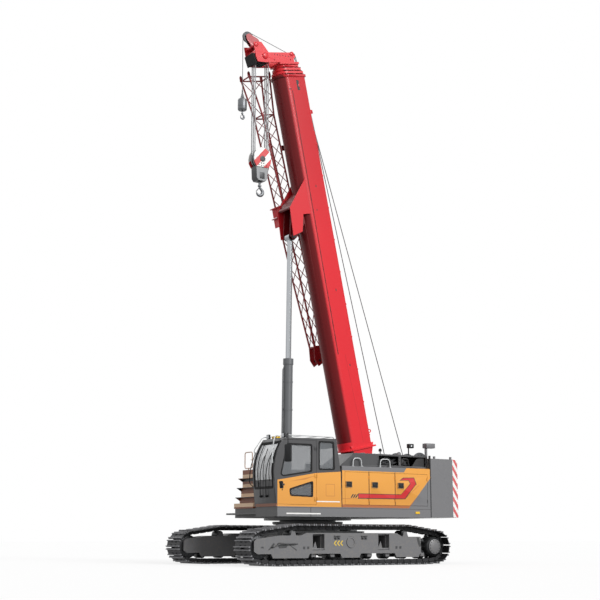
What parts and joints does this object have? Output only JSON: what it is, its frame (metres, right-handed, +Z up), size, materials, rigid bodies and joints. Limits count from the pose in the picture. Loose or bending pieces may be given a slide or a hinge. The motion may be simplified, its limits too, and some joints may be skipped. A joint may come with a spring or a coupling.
{
  "type": "telescopic boom crawler crane",
  "caption": "Crawler crane on two tracks with a telescopic boom, a lattice jib stowed on the boom's side, a hook block and a ball hook.",
  "frame": {"origin": "on the ground under the slewing axis, at the middle of the two tracks", "axes": "+X forward, +Y to the machine's left (the cab's side), +Z up"},
  "size_m": [6.9004, 4.0729, 13.612],
  "materials": {
    "dark_frame": "satin",
    "track_steel": "worn matt",
    "body_yellow": "gloss",
    "body_grey": "satin",
    "window_glass": "tinted",
    "seat_fabric": "woven",
    "black_plastic": "matt",
    "engine_grey": "satin",
    "step_brown": "satin",
    "light_rail": "satin",
    "boom_red": "gloss",
    "rope_steel": "greased",
    "cylinder_grey": "satin",
    "rod_chrome": "polished",
    "sheave_grey": "machined",
    "block_paint": "gloss"
  },
  "bodies": {
    "carbody": {"carbody": "dark_frame", "slew_ring": "dark_frame"},
    "crawler_left": {"side_frame_left": "body_grey", "track_left": "track_steel", "rollers_left": "track_steel", "sprocket_left": "track_steel"},
    "crawler_right": {"side_frame_right": "body_grey", "track_right": "track_steel", "rollers_right": "track_steel", "sprocket_right": "track_steel"},
    "upper": {"upper_frame": "body_grey", "cab_shell": "body_yellow", "cab_glass": "window_glass", "seat_base": "black_plastic", "seat_cushion": "seat_fabric", "cab_console": "black_plastic", "left_hood": "body_grey", "engine_block": "engine_grey", "right_housing": "body_grey", "access_steps": "step_brown", "counterweight": "body_grey", "winch_frame": "engine_grey", "handrails": "light_rail", "mirrors": "black_plastic", "lamps": "black_plastic", "exhaust": "engine_grey"},
    "cab_door": {"cab_door": "body_yellow", "cab_door_glass": "window_glass"},
    "hood_front_door": {"hood_door_front": "body_yellow"},
    "hood_middle_door": {"hood_door_middle": "body_yellow"},
    "hood_rear_door": {"hood_door_rear": "body_yellow"},
    "main_drum": {"main_drum": "rope_steel"},
    "rear_drum": {"rear_drum": "rope_steel"},
    "boom": {"boom_base": "boom_red", "jib": "boom_red"},
    "lift_barrel": {"lift_barrel": "cylinder_grey"},
    "lift_rod": {"lift_rod": "rod_chrome"},
    "boom_second": {"boom_second": "boom_red"},
    "boom_third": {"boom_third": "boom_red"},
    "boom_tip": {"boom_fourth": "boom_red", "boom_head": "boom_red", "rooster_arm": "boom_red"},
    "head_sheaves": {"head_sheaves": "sheave_grey"},
    "rooster_sheave": {"rooster_sheave": "sheave_grey"},
    "hook_block": {"hook_block": "block_paint", "main_falls": "rope_steel"},
    "block_sheaves": {"block_sheaves": "sheave_grey"},
    "main_hook": {"main_hook": "cylinder_grey"},
    "ball_weight": {"aux_weight": "cylinder_grey", "aux_fall": "rope_steel"},
    "aux_hook": {"aux_hook": "cylinder_grey"}
  },
  "joints": [
    {"name": "slew", "type": "hinge", "parent": "carbody", "child": "upper", "pos_m": [0, 0, 1.05], "axis": [0, 0, 1], "continuous": true},
    {"name": "left_frame_slide", "type": "slide", "parent": "carbody", "child": "crawler_left", "axis": [0, -1, 0], "range_m": [0, 0.52]},
    {"name": "right_frame_slide", "type": "slide", "parent": "carbody", "child": "crawler_right", "axis": [0, 1, 0], "range_m": [0, 0.52]},
    {"name": "cab_door_hinge", "type": "hinge", "parent": "upper", "child": "cab_door", "pos_m": [0.686, 1.466, 2], "axis": [0, 0, 1], "range_deg": [0, 165]},
    {"name": "front_hood_door_hinge", "type": "hinge", "parent": "upper", "child": "hood_front_door", "pos_m": [-0.842, 1.458, 1.8], "axis": [0, 0, 1], "range_deg": [0, 90]},
    {"name": "middle_hood_door_hinge", "type": "hinge", "parent": "upper", "child": "hood_middle_door", "pos_m": [-1.642, 1.458, 1.8], "axis": [0, 0, 1], "range_deg": [0, 90]},
    {"name": "rear_hood_door_hinge", "type": "hinge", "parent": "upper", "child": "hood_rear_door", "pos_m": [-2.672, 1.458, 1.8], "axis": [0, 0, 1], "range_deg": [0, 90]},
    {"name": "main_winch", "type": "hinge", "parent": "upper", "child": "main_drum", "pos_m": [-2.61, 0, 2.56], "axis": [0, 1, 0], "continuous": true},
    {"name": "rear_winch", "type": "hinge", "parent": "upper", "child": "rear_drum", "pos_m": [-3.385, 0, 2.6], "axis": [0, 1, 0], "continuous": true},
    {"name": "boom_luff", "type": "hinge", "parent": "upper", "child": "boom", "pos_m": [-1.62, 0, 2.42], "axis": [0, 1, 0], "range_deg": [-2, 66]},
    {"name": "cylinder_tilt", "type": "hinge", "parent": "upper", "child": "lift_barrel", "pos_m": [0.63, 0, 1.5], "axis": [0, 1, 0], "range_deg": [-2.24, 72.32]},
    {"name": "rod_slide", "type": "slide", "parent": "lift_barrel", "child": "lift_rod", "axis": [-0.0147, 0, 0.9999], "range_m": [-2.5843, 0.0793]},
    {"name": "telescope_first", "type": "slide", "parent": "boom", "child": "boom_second", "axis": [0.2079, 0, 0.9781], "range_m": [0, 6.8]},
    {"name": "telescope_second", "type": "slide", "parent": "boom_second", "child": "boom_third", "axis": [0.2079, 0, 0.9781], "range_m": [0, 6.8]},
    {"name": "telescope_third", "type": "slide", "parent": "boom_third", "child": "boom_tip", "axis": [0.2079, 0, 0.9781], "range_m": [0, 6.8]},
    {"name": "head_sheaves_spin", "type": "hinge", "parent": "boom_tip", "child": "head_sheaves", "pos_m": [1.45957, 0, 12.94982], "axis": [0, 1, 0], "continuous": true},
    {"name": "rooster_sheave_spin", "type": "hinge", "parent": "boom_tip", "child": "rooster_sheave", "pos_m": [1.84414, 0, 13.45082], "axis": [0, 1, 0], "continuous": true},
    {"name": "main_hook_hang", "type": "hinge", "parent": "boom_tip", "child": "hook_block", "pos_m": [1.45957, 0, 12.94982], "axis": [0, 1, 0], "range_deg": [-66.05, 2.05]},
    {"name": "block_sheaves_spin", "type": "hinge", "parent": "hook_block", "child": "block_sheaves", "pos_m": [1.45957, 0, 10.18], "axis": [0, 1, 0], "continuous": true},
    {"name": "main_hook_swivel", "type": "hinge", "parent": "hook_block", "child": "main_hook", "pos_m": [1.45957, 0, 9.61], "axis": [0, 0, 1], "continuous": true},
    {"name": "aux_hook_hang", "type": "hinge", "parent": "boom_tip", "child": "ball_weight", "pos_m": [1.84414, 0, 13.45082], "axis": [0, 1, 0], "range_deg": [-66.05, 2.05]},
    {"name": "aux_hook_swivel", "type": "hinge", "parent": "ball_weight", "child": "aux_hook", "pos_m": [1.99144, 0, 11.42], "axis": [0, 0, 1], "continuous": true}
  ],
  "couplings": [
    {"joint": "cylinder_tilt", "follows": "boom_luff", "ratio": 1.095},
    {"joint": "rod_slide", "follows": "boom_luff", "m_per_rad": -2.2426},
    {"joint": "telescope_second", "follows": "telescope_first", "ratio": 1},
    {"joint": "telescope_third", "follows": "telescope_first", "ratio": 1},
    {"joint": "main_hook_hang", "follows": "boom_luff", "ratio": -1},
    {"joint": "aux_hook_hang", "follows": "boom_luff", "ratio": -1}
  ]
}
